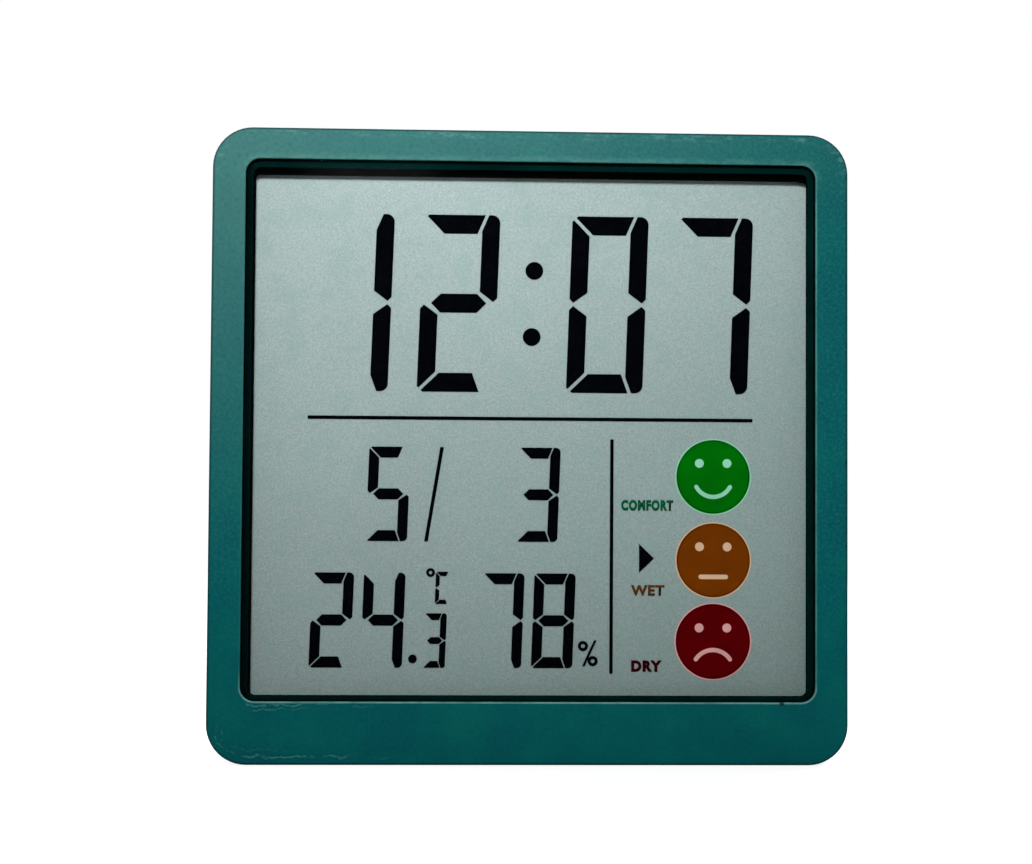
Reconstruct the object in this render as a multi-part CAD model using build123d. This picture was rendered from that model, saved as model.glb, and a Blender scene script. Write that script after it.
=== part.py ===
from build123d import *
import math
import os

# Desk clock with thermometer and hygrometer, in millimetres.
# +Z is up and the display faces -Y. The origin is the middle of the base, halfway through the depth.

# Case, as two shells that meet at a lapped joint. Its outer size follows from what it holds.
case_corner_radius = 5.0
wall = 1.8
face_edge_radius = 0.5
back_edge_radius = 1.5
seam_bevel = 0.2
front_shell_depth = 11.0
lap_length = 1.5
lap_wall = 0.9
lap_gap = 0.05
overrun = 1.0
edge_tolerance = 0.001

# Display opening in the face
opening_radius = 1.8
opening_edge_radius = 0.2

# Window, and the dark surround that carries it
window_recess = 0.3
window_thickness = 0.8
window_gap = 0.1
surround_gap = 0.1
land_side = 0.75
land_top = 0.8
land_bottom = 0.55
land_radius = 0.9
land_thickness = 0.6
surround_depth = 1.7
surround_relief = 0.5
surround_flange_inset = 0.05
surround_side_gap = 0.85
surround_top_gap = 0.65

# Foam gasket, whose opening is the visible area of the display
gasket_thickness = 0.4
gasket_lap = 1.6
gasket_overhang_left = 0.1
gasket_overhang_right = -0.25
gasket_overhang_top = 0.65
gasket_overhang_bottom = -0.2
view_radius = 0.5
view_clip_length = 1.3
view_clip_height = 0.25

# Display cell: two glass plates with the dark segments between them
cell_margin = 1.3
front_glass_thickness = 0.7
rear_panel_thickness = 0.8
segment_thickness = 0.12
contact_ledge = 2.2
seal_width = 0.7
seal_inset = 0.1

# Characters of the display
time_digit_width = 9.77
time_digit_height = 22.6
time_stroke = 2.26
time_gap = 0.44
small_digit_width = 5.25
small_digit_height = 11.95
small_stroke = 1.3
small_gap = 0.16
tenths_width = 2.8
tenths_height = 6.85
tenths_stroke = 0.8
unit_width = 1.95
unit_height = 4.05
unit_stroke = 0.5
unit_gap = 0.1
colon_radius = 1.13
point_radius = 0.55
ring_radius = 0.56
ring_stroke = 0.35
percent_ring_radius = 0.64
percent_ring_stroke = 0.38
percent_slash_width = 0.33
percent_width = 1.5
percent_height = 3.25
date_stroke_width = 0.46
date_stroke_run = 1.95
rule_thickness = 0.43
arrow_width = 1.9
arrow_height = 3.65
digit_lean_share = 0.034
bar_share = 1.06
corner_share = 0.45
corner_joint_share = 0.735
corner_slope_share = 0.4
tip_place_share = 0.22
tip_bevel_share = 0.22
tip_trim_share = 0.09

# Places of the characters, as shares of the visible width from its middle and of its height from its foot
time_row_share = 0.5846
date_row_share = 0.295
lower_row_share = 0.0518
hour_shares = (-0.3995, -0.2078)
minute_shares = (0.0631, 0.2548)
colon_shares = ((0.0046, 0.8216), (0.0004, 0.6924))
month_share = -0.2976
day_share = -0.026
date_mark_share = -0.1917
temperature_shares = (-0.3976, -0.305)
humidity_shares = (-0.0902, 0.0025)
point_shares = (-0.2109, 0.0686)
tenths_share = -0.1928
degree_shares = (-0.1796, 0.2348)
unit_shares = (-0.1717, 0.1745)
percent_shares = (0.0952, 0.0557)
percent_ring_shares = ((0.0967, 0.0944), (0.1144, 0.0655))
level_rule_shares = (-0.4037, 0.4045, 0.5332)
upright_rule_shares = (0.1476, 0.0412, 0.4947)
arrow_shares = (0.1978, 0.2363)

# Tray that holds the display cell, and its screws
tray_floor = 1.0
tray_rim = 0.9
tray_gap = 0.1
tray_boss_gap = 0.1
tray_flange_reach = 6.0
tray_hook_inset = 13.2
tray_hook_width = 6.0
tray_hook_height = 1.0
tray_hook_depth = 1.1
tray_screw_inset = 12.5
boss_wall = 1.45
boss_sink = 0.1
tray_screw_radius = 0.8
tray_screw_length = 3.4
tray_screw_head_radius = 1.7
tray_screw_head_height = 0.9
stake_radius = 0.9
stake_head_radius = 1.6
stake_head_height = 0.7
stake_hole_gap = 0.1
drive_width = 0.5
drive_depth = 0.5

# Rubber contact strip and circuit board
strip_height = 1.3
strip_inset = 0.15
strip_end_gap = 3.3
board_thickness = 1.2
board_top_gap = 1.2
board_band_height = 7.2
board_side_gap = 1.7
board_recess_gap = 0.5
board_post_gap = 3.95
board_corner_radius = 1.0

# Parts on the board
switch_size = 6.0
switch_height = 3.5
switch_leg_width = 0.7
switch_leg_height = 0.2
switch_leg_reach = 0.9
chip_radius = 3.6
chip_height = 1.3
chip_edge_gap = 0.7
crystal_radius = 1.0
crystal_length = 6.0
crystal_drop = 12.0
buzzer_radius = 3.5
buzzer_height = 4.0
buzzer_hole_radius = 0.8
buzzer_place_x = 0.5
capacitor_radius = 2.5
capacitor_height = 6.0
capacitor_gap = 1.9
resistor_length = 2.0
resistor_width = 1.2
resistor_height = 0.6
resistor_count = 6
resistor_pitch = 6.5
resistor_edge_gap = 3.5
resistor_rise = 8.0
sensor_width = 8.0
sensor_height = 5.0
sensor_thickness = 0.8
sensor_standoff = 5.0
sensor_offset = -4.0
sensor_drop = 3.0
lead_radius = 0.25
lead_pitch = 2.54
bead_radius = 1.2
bead_length = 3.0
bead_offset = 5.0

# Push buttons on the back
button_count = 4
button_pitch = 11.0
button_recess_gap = 12.0
button_width = 8.0
button_height = 5.0
button_corner_radius = 2.3
button_gap = 0.2
button_flange = 0.8
button_flange_thickness = 0.9
button_flange_gap = 0.1
button_proud = 0.7
button_edge_radius = 0.35
button_stem_radius = 1.5
button_travel = 0.5
plunger_radius = 1.7
plunger_gap = 0.05
plunger_rise = 1.3
plunger_depth = 1.4
plunger_end_gap = 0.2
panel_margin = 3.0
panel_depth = 0.8
panel_radius = 3.0
collar_gap = 0.2
collar_wall = 0.8
collar_depth = 2.0

# Battery cells and bay
battery_radius = 5.25
battery_length = 44.5
battery_nub_radius = 1.9
battery_nub_height = 1.0
battery_edge_radius = 0.5
battery_gap = 0.5
battery_door_gap = 0.18
bay_rise = 7.55
bay_wall = 1.4
bay_floor = 1.2
bay_floor_gap = 0.2
bay_spring_room = 4.2
trough_gap = 0.1
bay_side_gap = 0.9
bay_board_gap = 3.9

# Battery contacts
contact_sheet = 0.3
contact_width = 8.0
contact_height = 7.0
contact_tail_width = 3.5
contact_foot = 2.5
contact_slot_gap = 0.15
spring_wire_radius = 0.35
spring_large_radius = 3.4
spring_small_radius = 1.9
spring_turns = 3

# Sliding battery door
door_thickness = 2.0
door_edge_radius = 0.3
door_lap = 1.2
door_gap = 0.1
door_seat_gap = 0.05
door_land = 1.6
rail_depth = 0.8
rail_height = 0.8
rail_lip = 0.7
door_side_gap = 0.1
grip_count = 5
grip_pitch = 2.0
grip_width = 0.9
grip_length = 14.0
grip_depth = 0.5
grip_inset = 5.0

# Folding stand
stand_width = 20.0
stand_thickness = 3.0
stand_side_gap = 0.4
stand_back_inset = 0.1
stand_tip_gap = 0.5
stand_heel = 1.7
stand_angle = 24.0
stand_stop_gap = 0.03
stand_skin = 1.2
stand_rim = 1.5
stand_rib = 1.2
stand_tip_radius = 3.0
stand_edge_radius = 0.4
stand_pin_radius = 1.3
stand_pin_length = 1.4
stand_pin_gap = 0.05
stand_pin_end_gap = 0.2
recess_floor = 1.4
recess_clearance = 0.6
recess_wall = 1.6
notch_radius = 5.0
notch_depth = 1.1
notch_rise = 9.0

# Wall hanging keyhole and sensor vents
keyhole_radius = 3.75
keyhole_slot_radius = 1.8
keyhole_rise = 5.2
keyhole_margin = 1.0
keyhole_pocket_depth = 4.3
keyhole_wall = 1.2
keyhole_top_gap = 1.0
vent_count = 7
vent_pitch = 3.0
vent_width = 1.4
vent_height = 9.0
vent_top_gap = 4.6

# Case screws, and the hooks along the top edge
case_screw_inset = 5.7
case_boss_gap = 0.1
case_boss_inset = 2.0
case_post_radius = 3.1
case_screw_radius = 0.9
case_screw_length = 9.5
case_screw_head_radius = 1.9
case_screw_head_height = 1.4
case_head_well_radius = 2.2
case_head_well_depth = 5.4
screw_hole_gap = 0.05
post_hole_gap = 0.25
hook_spacing = 1.0
hook_width = 6.0
hook_thickness = 1.1
hook_reach = 3.2
hook_barb = 0.6
hook_barb_length = 1.0
hook_gap = 0.1

# Outer size, worked out from the display, the cells, the stand and the board
boss_radius = tray_screw_radius + boss_wall
screw_row_height = wall - boss_sink + boss_radius
surround_flange = cell_margin + tray_rim - surround_gap - land_bottom - surround_flange_inset
bezel_side = wall + surround_side_gap + surround_flange
bezel_top = wall + surround_top_gap + surround_flange
bezel_bottom = (screw_row_height + boss_radius + tray_boss_gap + tray_rim + cell_margin
                - surround_gap - land_bottom)
display_depth = (window_recess + window_thickness + surround_depth + gasket_thickness
                 + front_glass_thickness + segment_thickness + rear_panel_thickness)
battery_depth = bay_floor_gap + bay_floor + trough_gap + 2 * battery_radius + battery_door_gap
case_depth = display_depth + tray_floor + battery_depth + door_thickness
recess_half = stand_width / 2 + stand_side_gap
bay_left = recess_half + recess_wall + bay_wall
bay_width = 4 * battery_radius + 3 * battery_gap
bay_right = bay_left + bay_width
half_width = bay_right + bay_wall + bay_side_gap + wall
bay_bottom = screw_row_height + case_post_radius + bay_rise
bay_length = battery_length + bay_spring_room + 2 * contact_sheet
bay_top = bay_bottom + bay_length
case_height = bay_top + bay_wall + bay_board_gap + board_band_height + board_top_gap + wall

# Levels through the depth, counted from the face
face_y = -case_depth / 2
back_y = case_depth / 2
split_y = face_y + front_shell_depth
face_inner_y = face_y + wall
back_inner_y = back_y - wall
window_front_y = face_y + window_recess
window_back_y = window_front_y + window_thickness
surround_back_y = window_back_y + surround_depth
gasket_back_y = surround_back_y + gasket_thickness
glass_back_y = gasket_back_y + front_glass_thickness
segments_back_y = glass_back_y + segment_thickness
panel_back_y = segments_back_y + rear_panel_thickness
tray_back_y = panel_back_y + tray_floor
board_back_y = tray_back_y + board_thickness
boss_back_y = split_y - case_boss_inset
screw_seat_y = back_y - case_head_well_depth
bay_front_y = tray_back_y + bay_floor_gap
battery_y = bay_front_y + bay_floor + trough_gap + battery_radius
door_floor_y = back_y - door_thickness
rail_y = back_y - rail_lip - rail_height
recess_floor_y = back_y - stand_back_inset - stand_thickness - recess_clearance
hinge_y = back_y - stand_back_inset - stand_heel
panel_floor_y = back_y - panel_depth
flange_back_y = back_inner_y - button_flange_gap
flange_front_y = flange_back_y - button_flange_thickness
switch_top_y = board_back_y + switch_height
plunger_top_y = switch_top_y + plunger_rise

# Places across the width and up the height
inner_half = half_width - wall
inner_radius = case_corner_radius - wall
inner_top = case_height - wall
opening_half = half_width - bezel_side
opening_top = case_height - bezel_top
land_half = opening_half - surround_gap - land_side
land_low = bezel_bottom + surround_gap + land_bottom
land_high = opening_top - surround_gap - land_top
view_left = -(land_half - gasket_overhang_left)
view_right = land_half - gasket_overhang_right
view_low = land_low + gasket_overhang_bottom
view_high = land_high - gasket_overhang_top
view_middle = (view_left + view_right) / 2
view_width = view_right - view_left
view_height = view_high - view_low
cell_half = land_half + cell_margin
cell_low = land_low - cell_margin + tray_gap
cell_high = inner_top - tray_gap - tray_rim / 2
panel_high = cell_high - contact_ledge
case_screw_place = inner_half - case_screw_inset
tray_screw_place = case_screw_place - tray_screw_inset
tray_hook_place = inner_half - tray_hook_inset
hook_place = tray_hook_place - (tray_hook_width + hook_width) / 2 - hook_spacing
board_top = inner_top - board_top_gap
board_band_bottom = board_top - board_band_height
board_half = inner_half - board_side_gap
board_column_right = recess_half + recess_wall + board_recess_gap
board_column_bottom = screw_row_height + case_post_radius + board_post_gap
keyhole_top_z = inner_top - keyhole_top_gap - keyhole_margin - keyhole_slot_radius
keyhole_z = keyhole_top_z - keyhole_rise
recess_top = keyhole_z - keyhole_radius - keyhole_margin - recess_wall
stand_rad = math.radians(stand_angle)
stand_hinge_z = recess_top - stand_stop_gap - stand_heel * (math.sin(stand_rad) + math.cos(stand_rad))
battery_places = [bay_left + battery_gap + battery_radius, bay_right - battery_gap - battery_radius]
bay_middle = (bay_bottom + bay_top) / 2
door_left = bay_left - door_lap
door_low = bay_bottom - door_lap
door_high = bay_top + door_lap
button_x = -(recess_half + recess_wall + button_recess_gap)
button_places = [bay_middle + button_pitch * (i - (button_count - 1) / 2) for i in range(button_count)]
chip_x = chip_edge_gap + chip_radius + board_column_right
crystal_z = bay_middle - crystal_drop
capacitor_x = battery_places[0] - contact_tail_width / 2 - capacitor_gap - capacitor_radius
vent_z = inner_top - vent_top_gap - vent_height / 2
sensor_x = button_x + sensor_offset
bead_x = button_x + bead_offset
sensor_z = vent_z - sensor_drop
board_band_middle = (board_band_bottom + board_top) / 2
stake_inset = stake_head_radius + board_corner_radius
stake_band_z = board_band_bottom + stake_head_radius
stake_foot_z = board_column_bottom + stake_head_radius
stake_places = [
    (stake_inset - board_half, stake_band_z),
    (stake_head_radius - board_column_right, stake_band_z),
    (buzzer_place_x + 2 * buzzer_radius, stake_band_z),
    (board_half - stake_head_radius, stake_band_z),
    (stake_inset - board_half, stake_foot_z),
    (-board_column_right - stake_inset, stake_foot_z),
]


def span_box(x0, x1, y0, y1, z0, z1):
    middle = Pos((x0 + x1) / 2, (y0 + y1) / 2, (z0 + z1) / 2)
    return middle * Box(x1 - x0, y1 - y0, z1 - z0)


def rounded(x0, x1, z0, z1, radius):
    return Pos((x0 + x1) / 2, (z0 + z1) / 2) * RectangleRounded(x1 - x0, z1 - z0, radius)


def disc(x, z, radius):
    return Pos(x, z) * Circle(radius)


def slab(outline, y0, y1):
    # An outline drawn in X and Z, made solid from y0 back to y1.
    drawing = Plane(origin=(0, y1, 0), x_dir=(1, 0, 0), z_dir=(0, -1, 0))
    return extrude(drawing * outline, amount=y1 - y0)


def outline_of(points):
    return make_face(Polyline(*points, close=True))


def edges_at(body, axis, place):
    # Edges whose middle lies at one place along an axis.
    return body.edges().filter_by_position(axis, place - edge_tolerance, place + edge_tolerance)


def group(shapes):
    return Compound([solid for shape in shapes for solid in shape.solids()])


def case_outline(inset, radius):
    return rounded(inset - half_width, half_width - inset, inset, case_height - inset, radius)


def drive_cross(x, z, y0, y1, reach):
    level = span_box(x - reach, x + reach, y0, y1, z - drive_width / 2, z + drive_width / 2)
    upright = span_box(x - drive_width / 2, x + drive_width / 2, y0, y1, z - reach, z + reach)
    return level + upright


def front_frame():
    body = slab(case_outline(0, case_corner_radius), face_y, split_y)
    body = fillet(edges_at(body, Axis.Y, face_y), face_edge_radius)
    body = chamfer(edges_at(body, Axis.Y, split_y), seam_bevel)
    body -= slab(case_outline(wall, inner_radius), face_inner_y, split_y + overrun)
    lap_radius = case_corner_radius - lap_wall
    body -= slab(case_outline(lap_wall, lap_radius), split_y - lap_length, split_y + overrun)
    opening = rounded(-opening_half, opening_half, bezel_bottom, opening_top, opening_radius)
    body -= slab(opening, face_y - overrun, face_inner_y + overrun)
    inner_edges = [edge for edge in edges_at(body, Axis.Y, face_y)
                   if abs(edge.center().X) <= opening_half + edge_tolerance
                   and bezel_bottom - edge_tolerance <= edge.center().Z <= opening_top + edge_tolerance]
    body = fillet(inner_edges, opening_edge_radius)
    for side in (-1, 1):
        x = side * tray_screw_place
        body += slab(disc(x, screw_row_height, boss_radius), face_inner_y, panel_back_y)
        hole = disc(x, screw_row_height, tray_screw_radius + screw_hole_gap)
        body -= slab(hole, face_inner_y, panel_back_y)
        x = side * case_screw_place
        body += slab(disc(x, screw_row_height, boss_radius), face_inner_y, boss_back_y)
        hole = disc(x, screw_row_height, case_screw_radius + screw_hole_gap)
        body -= slab(hole, face_inner_y, boss_back_y)
        x = side * tray_hook_place
        hook_front_y = tray_back_y + lap_gap
        body += span_box(x - tray_hook_width / 2, x + tray_hook_width / 2,
                         hook_front_y, hook_front_y + tray_hook_depth,
                         inner_top - tray_hook_height, inner_top + lap_gap)
        x = side * hook_place
        barb_front_y = split_y - hook_reach
        body -= span_box(x - hook_width / 2 - hook_gap, x + hook_width / 2 + hook_gap,
                         barb_front_y - hook_gap, barb_front_y + hook_barb_length + hook_gap,
                         inner_top - lap_gap, inner_top + hook_barb + hook_gap)
    return body


def display_window():
    gap = window_gap
    glass = rounded(gap - opening_half, opening_half - gap, bezel_bottom + gap, opening_top - gap,
                    opening_radius - gap)
    return slab(glass, window_front_y, window_back_y)


def display_surround():
    gap = surround_gap
    reach = surround_flange
    rim = rounded(gap - opening_half, opening_half - gap, bezel_bottom + gap, opening_top - gap,
                  opening_radius - gap)
    flange = rounded(-opening_half - reach, opening_half + reach, bezel_bottom - reach,
                     opening_top + reach, opening_radius)
    land = rounded(-land_half, land_half, land_low, land_high, land_radius)
    relief = surround_relief
    behind = rounded(-land_half - relief, land_half + relief, land_low - relief, land_high + relief,
                     land_radius + relief)
    body = slab(rim, window_back_y, surround_back_y) + slab(flange, face_inner_y, surround_back_y)
    body -= slab(land, window_back_y - overrun, surround_back_y + overrun)
    return body - slab(behind, window_back_y + land_thickness, surround_back_y + overrun)


def display_gasket():
    outer = rounded(-land_half - gasket_lap, land_half + gasket_lap, cell_low, cell_high, land_radius)
    view = rounded(view_left, view_right, view_low, view_high, view_radius)
    clip = outline_of([(view_right + overrun, view_high + overrun),
                       (view_right - view_clip_length - overrun, view_high + overrun),
                       (view_right - view_clip_length, view_high),
                       (view_right, view_high - view_clip_height),
                       (view_right + overrun, view_high - view_clip_height)])
    return slab(outer - (view - clip), surround_back_y, gasket_back_y)


def lcd_front_glass():
    return span_box(-cell_half, cell_half, gasket_back_y, glass_back_y, cell_low, cell_high)


def lcd_rear_panel():
    return span_box(-cell_half, cell_half, segments_back_y, panel_back_y, cell_low, panel_high)


def lcd_seal():
    inset = seal_inset
    outer = Pos(0, (cell_low + panel_high) / 2) * Rectangle(2 * (cell_half - inset),
                                                            panel_high - cell_low - 2 * inset)
    inset = seal_inset + seal_width
    inner = Pos(0, (cell_low + panel_high) / 2) * Rectangle(2 * (cell_half - inset),
                                                            panel_high - cell_low - 2 * inset)
    return slab(outer - inner, glass_back_y, segments_back_y)


def segment_points(name, width, height, stroke, gap):
    # The upright outline of one of the seven segments, named a to g clockwise from the top, g in the middle.
    bar = stroke * bar_share
    half_gap = gap / 2
    slant = gap / math.sqrt(2)
    middle = height / 2
    joint = width - corner_joint_share * stroke
    tip = tip_place_share * stroke
    bevel = tip_bevel_share * stroke
    trim = tip_trim_share * stroke
    run = bar / 2 + slant - half_gap
    if name == "a":
        return [(slant + 2 * trim, height), (joint - half_gap, height),
                (joint - half_gap - corner_slope_share * bar, height - bar), (bar + slant, height - bar),
                (slant + trim, height - trim)]
    if name == "b":
        drop = (stroke - (width - joint) + half_gap) / corner_slope_share
        return [(joint + half_gap, height), (width, height), (width, middle + half_gap + bevel),
                (width - tip, middle + half_gap), (width - stroke, middle + half_gap + run),
                (width - stroke, height - drop)]
    if name == "f":
        return [(0, height - slant - 2 * trim), (trim, height - slant - trim),
                (stroke, height - stroke - slant), (stroke, middle + half_gap + run),
                (tip, middle + half_gap), (0, middle + half_gap + bevel)]
    if name == "g":
        left = stroke + slant
        right = width - stroke - slant
        return [(left - bar / 2, middle), (left, middle + bar / 2), (right, middle + bar / 2),
                (right + bar / 2, middle), (right, middle - bar / 2), (left, middle - bar / 2)]
    mirrored = {"c": "b", "d": "a", "e": "f"}[name]
    return [(x, height - z) for x, z in segment_points(mirrored, width, height, stroke, gap)]


def digit(character, x, z, width, height, stroke, gap):
    lit = {"0": "abcdef", "1": "bc", "2": "abdeg", "3": "abcdg", "4": "bcfg", "5": "acdfg",
           "7": "abc", "8": "abcdefg", "C": "adef"}[character]
    faces = []
    for name in lit:
        points = segment_points(name, width, height, stroke, gap)
        placed = [(x + px + digit_lean_share * pz, z + pz) for px, pz in points]
        face = outline_of(placed)
        if name in "bc":
            corner = Vector(placed[1][0], placed[1][1], 0)
            vertex = face.vertices().sort_by_distance(corner)[0]
            face = fillet(vertex, corner_share * stroke)
        faces.append(face)
    return faces


def across(share):
    return view_middle + share * view_width


def up(share):
    return view_low + share * view_height


def ring(x, z, radius, stroke):
    return disc(x, z, radius) - disc(x, z, radius - stroke)


def slash(x, z, run, rise, thickness):
    return outline_of([(x, z), (x + thickness, z), (x + thickness + run, z + rise), (x + run, z + rise)])


def lcd_segments():
    faces = []
    time_size = (time_digit_width, time_digit_height, time_stroke, time_gap)
    small_size = (small_digit_width, small_digit_height, small_stroke, small_gap)
    tenths_size = (tenths_width, tenths_height, tenths_stroke, unit_gap)
    unit_size = (unit_width, unit_height, unit_stroke, unit_gap)
    for character, share in zip("1207", hour_shares + minute_shares):
        faces += digit(character, across(share), up(time_row_share), *time_size)
    for character, share in zip("53", (month_share, day_share)):
        faces += digit(character, across(share), up(date_row_share), *small_size)
    for character, share in zip("2478", temperature_shares + humidity_shares):
        faces += digit(character, across(share), up(lower_row_share), *small_size)
    faces += digit("3", across(tenths_share), up(lower_row_share), *tenths_size)
    faces += digit("C", across(unit_shares[0]), up(unit_shares[1]), *unit_size)
    for shares in colon_shares:
        faces.append(disc(across(shares[0]), up(shares[1]), colon_radius))
    faces.append(disc(across(point_shares[0]), up(point_shares[1]), point_radius))
    faces.append(ring(across(degree_shares[0]), up(degree_shares[1]), ring_radius, ring_stroke))
    for shares in percent_ring_shares:
        faces.append(ring(across(shares[0]), up(shares[1]), percent_ring_radius, percent_ring_stroke))
    faces.append(slash(across(percent_shares[0]), up(percent_shares[1]), percent_width, percent_height,
                       percent_slash_width))
    faces.append(slash(across(date_mark_share), up(date_row_share), date_stroke_run, small_digit_height,
                       date_stroke_width))
    left, right, height = level_rule_shares
    faces.append(rounded(across(left), across(right), up(height) - rule_thickness / 2,
                         up(height) + rule_thickness / 2, rule_thickness / 3))
    place, low, high = upright_rule_shares
    faces.append(rounded(across(place) - rule_thickness / 2, across(place) + rule_thickness / 2, up(low),
                         up(high), rule_thickness / 3))
    x, z = across(arrow_shares[0]), up(arrow_shares[1])
    faces.append(outline_of([(x, z), (x + arrow_width, z + arrow_height / 2), (x, z + arrow_height)]))
    return group([slab(face, glass_back_y, segments_back_y) for face in faces])


def contact_strip_span():
    low = panel_high + strip_inset
    return low, low + strip_height


def zebra_strip():
    low, high = contact_strip_span()
    half = cell_half - strip_end_gap
    return span_box(-half, half, glass_back_y, tray_back_y, low, high)


def lcd_tray():
    rim_low = cell_low - tray_gap - tray_rim
    rim_half = cell_half + tray_gap + tray_rim
    rim_high = inner_top - tray_gap
    body = slab(rounded(-rim_half, rim_half, rim_low, rim_high, inner_radius - tray_gap),
                gasket_back_y, tray_back_y)
    body -= span_box(-cell_half - tray_gap, cell_half + tray_gap, gasket_back_y - overrun, panel_back_y,
                     cell_low - tray_gap, cell_high + tray_gap)
    low, high = contact_strip_span()
    gap = tray_gap
    strip_half = cell_half - strip_end_gap
    body -= span_box(-strip_half - gap, strip_half + gap, gasket_back_y, tray_back_y + overrun,
                     low - gap, high + gap)
    flange_half = tray_screw_place + tray_flange_reach
    body += span_box(-flange_half, flange_half, panel_back_y, tray_back_y, wall + tray_gap,
                     rim_low + tray_rim)
    for side in (-1, 1):
        hole = disc(side * tray_screw_place, screw_row_height, tray_screw_radius + screw_hole_gap)
        body -= slab(hole, panel_back_y - overrun, tray_back_y + overrun)
    for x, z in stake_places:
        body += slab(disc(x, z, stake_radius), tray_back_y, board_back_y)
        head_back_y = board_back_y + stake_head_height
        head = slab(disc(x, z, stake_head_radius), board_back_y, head_back_y)
        body += fillet(edges_at(head, Axis.Y, head_back_y), stake_head_height / 2)
    return body


def screw(x, z, seat_y, shank_radius, shank_length, head_radius, head_height):
    head_back_y = seat_y + head_height
    head = slab(disc(x, z, head_radius), seat_y, head_back_y)
    head = fillet(edges_at(head, Axis.Y, head_back_y), head_height / 3)
    shank = slab(disc(x, z, shank_radius), seat_y - shank_length, seat_y)
    reach = head_radius - head_height / 2
    return head + shank - drive_cross(x, z, head_back_y - drive_depth, head_back_y + overrun, reach)


def tray_screws():
    return group([screw(side * tray_screw_place, screw_row_height, tray_back_y, tray_screw_radius,
                        tray_screw_length, tray_screw_head_radius, tray_screw_head_height)
                  for side in (-1, 1)])


def case_screws():
    return group([screw(side * case_screw_place, screw_row_height, screw_seat_y, case_screw_radius,
                        case_screw_length, case_screw_head_radius, case_screw_head_height)
                  for side in (-1, 1)])


def main_board():
    band = rounded(-board_half, board_half, board_band_bottom, board_top, board_corner_radius)
    column = rounded(-board_half, -board_column_right, board_column_bottom, board_top,
                     board_corner_radius)
    body = slab(band, tray_back_y, board_back_y) + slab(column, tray_back_y, board_back_y)
    for x, z in stake_places:
        hole = disc(x, z, stake_radius + stake_hole_gap)
        body -= slab(hole, tray_back_y - overrun, board_back_y + overrun)
    return body


def controller_chip():
    top_y = board_back_y + chip_height
    base = slab(disc(-chip_x, bay_middle, chip_radius), board_back_y, top_y)
    return fillet(edges_at(base, Axis.Y, top_y), chip_height * corner_joint_share)


def crystal():
    can = Pos(-chip_x, board_back_y + crystal_radius, crystal_z)
    return can * Cylinder(crystal_radius, crystal_length)


def chip_parts():
    bodies = []
    x = resistor_edge_gap - board_half
    for i in range(resistor_count):
        z = board_column_bottom + resistor_rise + resistor_pitch * i
        bodies.append(span_box(x - resistor_width / 2, x + resistor_width / 2,
                               board_back_y, board_back_y + resistor_height,
                               z - resistor_length / 2, z + resistor_length / 2))
    return group(bodies)


def buzzer():
    top_y = board_back_y + buzzer_height
    body = slab(disc(buzzer_place_x, board_band_middle, buzzer_radius), board_back_y, top_y)
    body = fillet(edges_at(body, Axis.Y, top_y), buzzer_hole_radius / 2)
    hole = disc(buzzer_place_x, board_band_middle, buzzer_hole_radius)
    return body - slab(hole, top_y - buzzer_height / 2, top_y + overrun)


def capacitor():
    top_y = board_back_y + capacitor_height
    body = slab(disc(capacitor_x, board_band_middle, capacitor_radius), board_back_y, top_y)
    return fillet(edges_at(body, Axis.Y, top_y), capacitor_radius / 5)


def humidity_sensor():
    front_y = board_back_y + sensor_standoff
    plate = rounded(sensor_x - sensor_width / 2, sensor_x + sensor_width / 2,
                    sensor_z - sensor_height / 2, sensor_z + sensor_height / 2, sensor_thickness / 2)
    return slab(plate, front_y, front_y + sensor_thickness)


def thermistor():
    middle_y = board_back_y + sensor_standoff + bead_length / 2
    body = Pos(bead_x, middle_y, sensor_z) * Rot(90, 0, 0) * Cylinder(bead_radius, bead_length)
    return fillet(body.edges(), bead_radius * corner_joint_share)


def component_leads():
    leads = []
    for x, pitch in ((sensor_x, lead_pitch), (bead_x, bead_radius)):
        for side in (-1, 1):
            lead = disc(x + side * pitch / 2, sensor_z, lead_radius)
            leads.append(slab(lead, board_back_y, board_back_y + sensor_standoff))
    return group(leads)


def switch_bodies():
    bodies = []
    half = switch_size / 2
    for z in button_places:
        body = span_box(button_x - half, button_x + half, board_back_y, switch_top_y, z - half, z + half)
        body = chamfer(edges_at(body, Axis.Y, switch_top_y), switch_leg_height)
        well_bottom_y = switch_top_y - plunger_depth - button_travel - plunger_end_gap
        body -= slab(disc(button_x, z, plunger_radius + plunger_gap), well_bottom_y, switch_top_y + overrun)
        for side in (-1, 1):
            for row in (-1, 1):
                leg_z = z + row * (half - switch_leg_width)
                inner = button_x + side * (half - switch_leg_width)
                outer = button_x + side * (half + switch_leg_reach)
                body += span_box(min(inner, outer), max(inner, outer), board_back_y,
                                 board_back_y + switch_leg_height,
                                 leg_z - switch_leg_width / 2, leg_z + switch_leg_width / 2)
        bodies.append(body)
    return group(bodies)


def push_button(z):
    top_y = panel_floor_y + button_proud
    cap = slab(key_outline(z, 0), flange_front_y, top_y)
    cap = fillet(edges_at(cap, Axis.Y, top_y), button_edge_radius)
    flange = slab(key_outline(z, button_flange), flange_front_y, flange_back_y)
    stem = slab(disc(button_x, z, button_stem_radius), plunger_top_y, flange_front_y)
    return cap + flange + stem


def plunger(z):
    return slab(disc(button_x, z, plunger_radius), switch_top_y - plunger_depth, plunger_top_y)


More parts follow.
